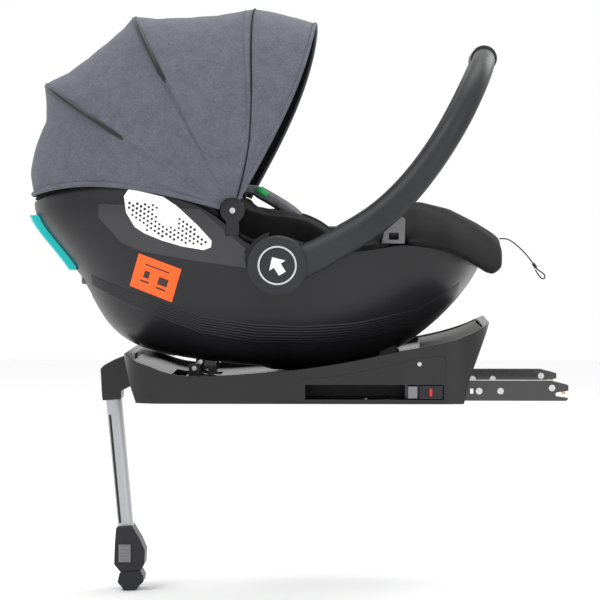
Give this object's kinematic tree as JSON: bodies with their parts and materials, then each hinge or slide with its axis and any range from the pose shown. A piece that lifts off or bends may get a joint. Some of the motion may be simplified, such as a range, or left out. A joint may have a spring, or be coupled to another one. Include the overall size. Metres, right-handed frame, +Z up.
{
  "type": "infant car seat",
  "caption": "Rear-facing infant carrier with folding canopy and carrying handle on an anchored base with telescopic arms and a folding support leg.",
  "frame": {"origin": "on the base's underside, on the middle plane, between nose and anchor end", "axes": "+X towards the anchor arms (the child's feet), +Y the child's left, +Z up"},
  "size_m": [0.7716, 0.4456, 0.8405],
  "materials": {
    "shell_plastic": "fine-textured satin black plastic",
    "base_plastic": "semi-gloss black plastic",
    "deck_texture": "perforated-look grey texture",
    "black_steel": "gloss black coated steel",
    "bright_steel": "plain zinc-plated steel",
    "chrome_trim": "bright trim",
    "leg_aluminium": "satin anodised",
    "hook_brass": "yellow passivated",
    "handle_plastic": "soft-touch charcoal",
    "grip_rubber": "soft grip",
    "canopy_fabric": "grey melange woven cloth",
    "cover_fabric": "black knit",
    "harness_webbing": "woven webbing",
    "pad_fabric": "grey melange",
    "foam": "expanded foam",
    "vent_white": "white perforated",
    "label_orange": "printed film",
    "guide_teal": "teal marker plastic",
    "button_grey": "grey plastic",
    "buckle_red": "red plastic",
    "sole_rubber": "rubber",
    "elastic": "braided elastic"
  },
  "bodies": {
    "base": {"base_housing": "base_plastic", "base_bottom_plate": "base_plastic", "base_deck_plate": "deck_texture", "base_side_trims": "base_plastic", "base_screws": "bright_steel", "lock_bars": "bright_steel", "leg_hinge_pin": "bright_steel"},
    "carrier": {"carrier_shell": "shell_plastic", "rear_belt_guide": "guide_teal", "handle_pivots": "black_steel", "lap_belt_guides": "button_grey", "foam_liner": "foam", "seat_cover": "cover_fabric", "newborn_insert": "cover_fabric", "headrest": "cover_fabric", "harness_straps": "harness_webbing", "shoulder_pads": "pad_fabric", "buckle": "shell_plastic", "crotch_pad": "pad_fabric", "canopy_mounts": "shell_plastic", "canopy_rivets": "bright_steel", "cord_crimp": "elastic", "elastic_cord": "elastic", "vent_panels": "vent_white", "safety_label": "label_orange"},
    "release_lever": {"release_lever": "button_grey"},
    "latch_hook": {"latch_hook": "black_steel"},
    "buckle_button": {"buckle_button": "buckle_red"},
    "adjuster_button": {"adjuster_button": "button_grey"},
    "handle": {"handle_frame": "handle_plastic", "handle_grip": "grip_rubber", "hub_rings": "chrome_trim"},
    "handle_button_right": {"handle_button_right": "handle_plastic"},
    "handle_button_left": {"handle_button_left": "handle_plastic"},
    "canopy_rear": {"canopy_bow_rear": "shell_plastic", "canopy_tail": "canopy_fabric"},
    "canopy_middle": {"canopy_bow_middle": "shell_plastic", "canopy_rear_panel": "canopy_fabric"},
    "canopy_front": {"canopy_bow_front": "shell_plastic", "canopy_front_panel": "canopy_fabric", "canopy_visor": "canopy_fabric"},
    "leg_upper": {"leg_knuckle": "base_plastic", "leg_outer_tube": "leg_aluminium", "leg_collar": "shell_plastic"},
    "leg_lower": {"leg_inner_tube": "leg_aluminium", "leg_foot": "shell_plastic", "leg_foot_sole": "sole_rubber"},
    "leg_button_right": {"leg_button_right": "button_grey"},
    "leg_button_left": {"leg_button_left": "button_grey"},
    "anchor_right": {"anchor_arm_right": "black_steel", "anchor_rivets_right": "bright_steel", "anchor_grip_right": "shell_plastic"},
    "anchor_button_right": {"anchor_button_right": "button_grey"},
    "anchor_hook_right": {"anchor_hook_right": "hook_brass"},
    "anchor_left": {"anchor_arm_left": "black_steel", "anchor_rivets_left": "bright_steel", "anchor_grip_left": "shell_plastic"},
    "anchor_button_left": {"anchor_button_left": "button_grey"},
    "anchor_hook_left": {"anchor_hook_left": "hook_brass"}
  },
  "joints": [
    {"name": "carrier_lift", "type": "slide", "parent": "base", "child": "carrier", "axis": [0, 0, 1], "range_m": [0, 0.28]},
    {"name": "release_slide", "type": "slide", "parent": "carrier", "child": "release_lever", "axis": [0, 0, 1], "range_m": [-0.01, 0], "stiffness_N_per_m": 600, "springref_m": -0.012},
    {"name": "latch_turn", "type": "hinge", "parent": "carrier", "child": "latch_hook", "pos_m": [-0.133, 0, 0.07], "axis": [0, -1, 0], "range_deg": [-28, 0]},
    {"name": "buckle_press", "type": "slide", "parent": "carrier", "child": "buckle_button", "axis": [1, 0, 0], "range_m": [0, 0.003], "stiffness_N_per_m": 900},
    {"name": "adjuster_press", "type": "slide", "parent": "carrier", "child": "adjuster_button", "axis": [0, 0, -1], "range_m": [0, 0.004], "stiffness_N_per_m": 900},
    {"name": "handle_tilt", "type": "hinge", "parent": "carrier", "child": "handle", "pos_m": [-0.032, 0, 0.1945], "axis": [0, 1, 0], "range_deg": [-62, 30]},
    {"name": "handle_press_right", "type": "slide", "parent": "handle", "child": "handle_button_right", "axis": [0, 1, 0], "range_m": [0, 0.004], "stiffness_N_per_m": 900},
    {"name": "handle_press_left", "type": "slide", "parent": "handle", "child": "handle_button_left", "axis": [0, -1, 0], "range_m": [0, 0.004], "stiffness_N_per_m": 900},
    {"name": "canopy_fold", "type": "hinge", "parent": "carrier", "child": "canopy_rear", "pos_m": [-0.095, 0, 0.27], "axis": [0, -1, 0], "range_deg": [0, 12], "deforming": ["canopy_tail", "canopy_rear_panel", "canopy_front_panel"]},
    {"name": "canopy_middle_fold", "type": "hinge", "parent": "canopy_rear", "child": "canopy_middle", "pos_m": [-0.095, 0, 0.27], "axis": [0, -1, 0], "range_deg": [0, 18]},
    {"name": "canopy_front_fold", "type": "hinge", "parent": "canopy_middle", "child": "canopy_front", "pos_m": [-0.095, 0, 0.27], "axis": [0, -1, 0], "range_deg": [0, 24]},
    {"name": "leg_fold", "type": "hinge", "parent": "base", "child": "leg_upper", "pos_m": [-0.243, 0, 0.028], "axis": [0, -1, 0], "range_deg": [0, 84]},
    {"name": "leg_extend", "type": "slide", "parent": "leg_upper", "child": "leg_lower", "axis": [0.0915, 0, -0.9958], "range_m": [0, 0.14]},
    {"name": "leg_press_right", "type": "slide", "parent": "leg_upper", "child": "leg_button_right", "axis": [0, 1, 0], "range_m": [0, 0.003], "stiffness_N_per_m": 900},
    {"name": "leg_press_left", "type": "slide", "parent": "leg_upper", "child": "leg_button_left", "axis": [0, -1, 0], "range_m": [0, 0.003], "stiffness_N_per_m": 900},
    {"name": "anchor_slide_right", "type": "slide", "parent": "base", "child": "anchor_right", "axis": [1, 0, 0], "range_m": [-0.135, 0]},
    {"name": "anchor_release_right", "type": "slide", "parent": "anchor_right", "child": "anchor_button_right", "axis": [-1, 0, 0], "range_m": [0, 0.004], "stiffness_N_per_m": 900},
    {"name": "anchor_hook_turn_right", "type": "hinge", "parent": "anchor_right", "child": "anchor_hook_right", "pos_m": [0.351, -0.14, 0.0212], "axis": [0, -1, 0], "range_deg": [0, 23]},
    {"name": "anchor_slide_left", "type": "slide", "parent": "base", "child": "anchor_left", "axis": [1, 0, 0], "range_m": [-0.135, 0]},
    {"name": "anchor_release_left", "type": "slide", "parent": "anchor_left", "child": "anchor_button_left", "axis": [-1, 0, 0], "range_m": [0, 0.004], "stiffness_N_per_m": 900},
    {"name": "anchor_hook_turn_left", "type": "hinge", "parent": "anchor_left", "child": "anchor_hook_left", "pos_m": [0.351, 0.14, 0.0212], "axis": [0, -1, 0], "range_deg": [0, 23]}
  ],
  "couplings": [
    {"joint": "latch_turn", "follows": "release_slide", "rad_per_m": 45},
    {"joint": "canopy_middle_fold", "follows": "canopy_fold", "ratio": 1.5},
    {"joint": "canopy_front_fold", "follows": "canopy_fold", "ratio": 2},
    {"joint": "anchor_hook_turn_right", "follows": "anchor_release_right", "rad_per_m": 100},
    {"joint": "anchor_hook_turn_left", "follows": "anchor_release_left", "rad_per_m": 100}
  ]
}
